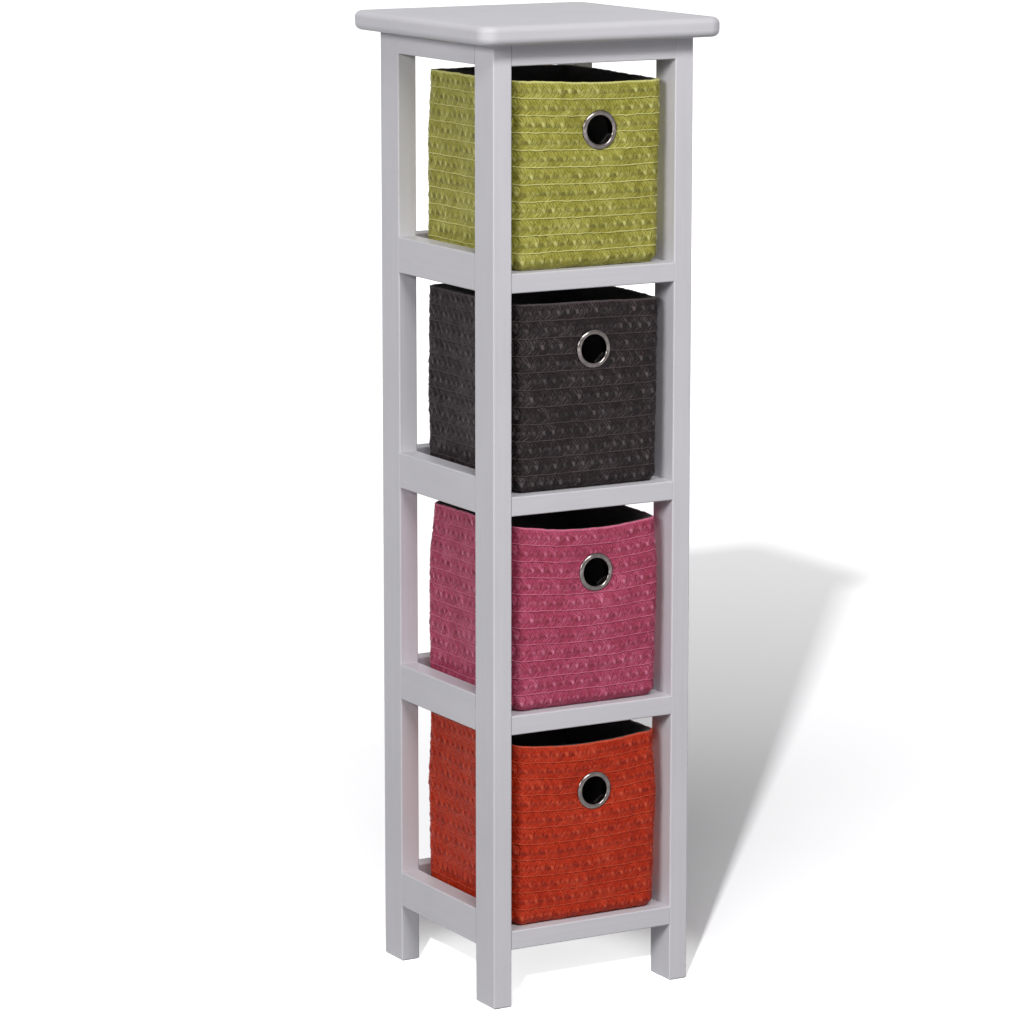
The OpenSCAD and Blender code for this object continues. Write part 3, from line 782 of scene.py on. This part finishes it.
# Radius and depth behind the basket's front of each ring of the eyelet's skin, in millimetres, from the barrel's
# inside over the face and back along the barrel.
eyelet_rings = [
    (12.4, 7.2), (12.4, -0.1), (12.5, -0.55), (12.85, -0.95), (13.5, -1.35), (14.1, -1.62), (14.5, -1.70),
    (14.9, -1.60), (15.6, -1.24), (16.3, -0.84), (16.75, -0.45), (16.9, 0.0), (16.7, 0.3), (13.5, 0.35), (13.5, 7.5),
    (14.5, 7.5), (14.9, 7.9), (14.5, 8.3), (13.2, 8.3), (12.6, 7.9), (12.4, 7.2)]
drop_selection()
bpy.ops.mesh.primitive_circle_add(vertices=72, radius=eyelet_rings[0][0] / 1000, rotation=(math.pi / 2, 0, 0),
                                  location=(0, eyelet_rings[0][1] / 1000, 0))
eyelet = bpy.context.object
eyelet.name = "eyelet"
settle(eyelet)


def draw_rings():
    """Extrudes the selected ring through all the others."""
    for (radius, depth), (next_radius, next_depth) in zip(eyelet_rings, eyelet_rings[1:]):
        grown = next_radius / radius
        bpy.ops.mesh.extrude_edges_move()
        bpy.ops.transform.resize(value=(grown, 1, grown), center_override=(0, 0, 0))
        bpy.ops.transform.translate(value=(0, (next_depth - depth) / 1000, 0))


shape(eyelet, lambda spot, other: True, draw_rings, kind="EDGE")
shape(eyelet, everywhere, lambda: (
    bpy.ops.mesh.remove_doubles(threshold=1e-6), bpy.ops.mesh.normals_make_consistent(inside=False)))
shape(eyelet, everywhere, bpy.ops.mesh.faces_shade_smooth)
eyelet.data.materials.append(eyelet_metal)

# The four baskets
# Each is a plaited wall and floor with its backing, lining, base board and eyelet, dyed in one colour. It stands free
# on its shelf panel, and use has made it sag and lean in its own way.
#
# The settling is in millimetres: how far the front rim has dropped at four places from left to right, and the back rim
# at both ends; how far the back left edge is pushed forward, at four heights from the rim down; and how far the right
# side stands outwards, at four heights from the floor up. The colours are those of the strands' body, of their bright
# and their dark fibres (which also paint the highlight on each crest and the shade in the dip beside it), of the
# backing deep between them (darker than the body: painted shade in the pits), and of the folded edges and rolled rim
# (lighter than the body: a painted highlight along each ridge).
baskets = {
    "green": dict(front=(0.6, 3.6, 5.1, 5.0), back=(1.5, 3.5), edge=(4.6, 0.5, -1.5, 0), right=(-2, -1, 0, 1),
                  body=(0.312, 0.294, 0.040), bright=(0.64, 0.62, 0.24), dark=(0.13, 0.117, 0.015),
                  pit_shade=(0.27, 0.255, 0.038), fold=(0.68, 0.66, 0.24), gloss=0.22),
    "brown": dict(front=(-1.2, -0.4, 0.5, 1.4), back=(0.0, 0.5), edge=(1.0, -0.8, -0.8, 0), right=(-1.5, -1.5, -1, 0),
                  body=(0.012, 0.006, 0.007), bright=(0.130, 0.108, 0.112), dark=(0.004, 0.003, 0.003),
                  pit_shade=(0.009, 0.005, 0.006), fold=(0.062, 0.048, 0.050), gloss=0.13),
    "pink": dict(front=(-1.1, 5.0, 6.4, 2.0), back=(1.0, 0.5), edge=(10.5, 0.0, -1.0, 0), right=(-2, -0.5, 1, -2.5),
                 body=(0.37, 0.044, 0.098), bright=(0.68, 0.21, 0.33), dark=(0.20, 0.021, 0.044),
                 pit_shade=(0.30, 0.038, 0.075), fold=(0.61, 0.14, 0.235), gloss=0.20),
    "red": dict(front=(0.1, 5.2, 5.0, 1.4), back=(0.5, 2.0), edge=(1.5, -3.0, -2.0, 0), right=(-2, -1, 0.5, -2.5),
                body=(0.43, 0.023, 0.004), bright=(0.62, 0.095, 0.045), dark=(0.21, 0.009, 0.002),
                pit_shade=(0.32, 0.016, 0.004), fold=(0.56, 0.065, 0.028), gloss=0.17)}
slack = bpy.data.textures.new("slack", "CLOUDS")
slack.cloud_type = "COLOR"
slack.noise_scale = 0.045
crumple = bpy.data.textures.new("crumple", "CLOUDS")
crumple.cloud_type = "COLOR"
crumple.noise_scale = 0.006
crumple.noise_depth = 1
slack_depth, crumple_depth = 0.0016, 0.0012


def loosened(piece, texture, depth):
    """Moves the piece's surface to and fro by a texture, within a depth."""
    apply_modifier(piece, "DISPLACE", texture=texture, texture_coords="GLOBAL", direction="RGB_TO_XYZ",
                   mid_level=0.5, strength=depth)


def from_eye(spot):
    """How far a place is from the middle of the basket's eyelet, seen from the front."""
    return math.hypot(spot.x - eye.x, spot.z - eye.z)


# The finger hole, in metres.
front_zone = -0.08  # the y below which a place belongs to the front wall
hole_radius = 0.0137  # of the hole through backing and lining
plait_hole_radius = 0.0142  # of the larger hole in the plait, which the eyelet's face covers
face_radius = 0.0171  # under the eyelet's face the plait stays behind its seat
face_seat = front_y + 0.0001
pressed_from, pressed_width, pressed_depth = 0.0165, 0.016, 0.0016  # the wall is pressed in, less and less outwards
columns, rows, tiers = 4, 3, 4  # of a lattice's points: left to right, front to back, floor to rim

for name, basket in baskets.items():
    low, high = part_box(name + "_basket_wall")
    drop_selection()
    bpy.ops.object.add(type="LATTICE", location=(low + high) / 2)
    lattice = bpy.context.object
    lattice.scale = high - low
    lattice.data.points_u, lattice.data.points_v, lattice.data.points_w = columns, rows, tiers
    for way in ("u", "v", "w"):
        setattr(lattice.data, "interpolation_type_" + way, "KEY_CATMULL_ROM")
    for index, point in enumerate(lattice.data.points):
        column, row, tier = index % columns, index // columns % rows, index // (columns * rows)
        front_drop = basket["front"][column]
        back_drop = basket["back"][0] + (basket["back"][1] - basket["back"][0]) * column / (columns - 1)
        drop = (front_drop + (back_drop - front_drop) * row / (rows - 1)) * (tier / (tiers - 1))
        # The left side is drawn in by a millimetre, and the right side stands outwards as given.
        right = basket["right"][tier]
        aside = (1.0, 0.5 + right / 4, right * 0.6, right)[column]
        # The back follows its left edge forward by a share, and the front bulges at its middle.
        forward = basket["edge"][tiers - 1 - tier] * (1, 0.4, 0.2, 0.5)[column] if row == rows - 1 else 0
        bulge = (0.2, 1.8, 1.8, 0.2)[column] * (0.2, 1.0, 1.0, 0.4)[tier] if row == 0 else 0
        moved = Vector((aside, -forward - bulge, -drop)) / 1000
        point.co_deform += Vector((moved.x / lattice.scale.x, moved.y / lattice.scale.y, moved.z / lattice.scale.z))

    wall = copy_of(plait, name + "_plaited_wall")
    floor_weave = copy_of(under, name + "_plaited_floor")
    stiff = copy_of(backing, name + "_wall_backing")
    inside = copy_of(lining, name + "_lining")
    for piece in (wall, floor_weave, stiff, inside):
        shape(piece, everywhere, move((0, 0, low.z)))
        if piece is wall:
            loosened(piece, crumple, crumple_depth)
        loosened(piece, slack, slack_depth)
        apply_modifier(piece, "LATTICE", object=lattice)

    # The plaits are pressed flat under the eyelet, and the hole is punched.
    eye_low, eye_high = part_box(name + "_eyelet")
    eye = (eye_low + eye_high) / 2
    shape(wall, lambda spot: spot.y < front_zone and from_eye(spot) < plait_hole_radius,
          lambda: bpy.ops.mesh.delete(type="VERT"))
    for piece in (wall, stiff, inside):
        for vertex in piece.data.vertices:
            apart = min(1, max(0, (from_eye(vertex.co) - pressed_from) / pressed_width))
            if vertex.co.y < front_zone:
                vertex.co.y += pressed_depth * (1 - apart * apart * (3 - 2 * apart))
    for vertex in wall.data.vertices:
        if from_eye(vertex.co) < face_radius:
            vertex.co.y = max(vertex.co.y, face_seat)
    drop_selection()
    bpy.ops.mesh.primitive_cylinder_add(vertices=64, radius=hole_radius, depth=0.03, location=(eye.x, -0.09, eye.z),
                                        rotation=(math.pi / 2, 0, 0))
    punch = bpy.context.object
    settle(punch)
    for piece in (stiff, inside):
        apply_modifier(piece, "BOOLEAN", object=punch, operation="DIFFERENCE", solver="EXACT")
    bpy.data.objects.remove(punch)
    bpy.data.objects.remove(lattice)

    # The colours: strands; folded edges, coloured lighter as a painted highlight, whose dark fibres are halfway to the
    # strands'; and the backing in the pits, coloured darker as painted shade.
    body, bright, dark, fold_tone, gloss = (basket[key] for key in ("body", "bright", "dark", "fold", "gloss"))
    between = [(low_tone + high_tone) / 2 for low_tone, high_tone in zip(body, fold_tone)]
    plait_look = fibre_material(name + "_fibre", body, bright, dark, gloss)
    fold_look = fibre_material(name + "_folded_fibre", fold_tone, bright, between, gloss)
    # The backing seen in the pits is coloured darker than the strands, as painted shade.
    pit_shade_look = fibre_material(name + "_pit_shade_fibre", basket["pit_shade"], body, dark, gloss)
    for piece in (wall, floor_weave):
        piece.data.materials[0], piece.data.materials[1] = plait_look, fold_look
    stiff.data.materials[0] = pit_shade_look
    for piece in (wall, floor_weave, stiff):
        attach(piece, name + "_basket")
    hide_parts(name + "_basket_wall")
    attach(inside, name + "_basket")
    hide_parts(name + "_basket_lining")
    dress([name + "_basket_board"], base_board)
    ring = copy_of(eyelet, name + "_finger_eyelet")
    shape(ring, everywhere, move((eye.x, front_y, eye.z)))
    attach(ring, name + "_basket")
    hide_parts(name + "_eyelet")
    dress([name + "_eyelet_washer"], eyelet_metal)

# What the baskets' pieces were copied from, and the path, aren't part of the chest.
for spare in (plait, backing, under, lining, eyelet, path):
    bpy.data.objects.remove(spare)
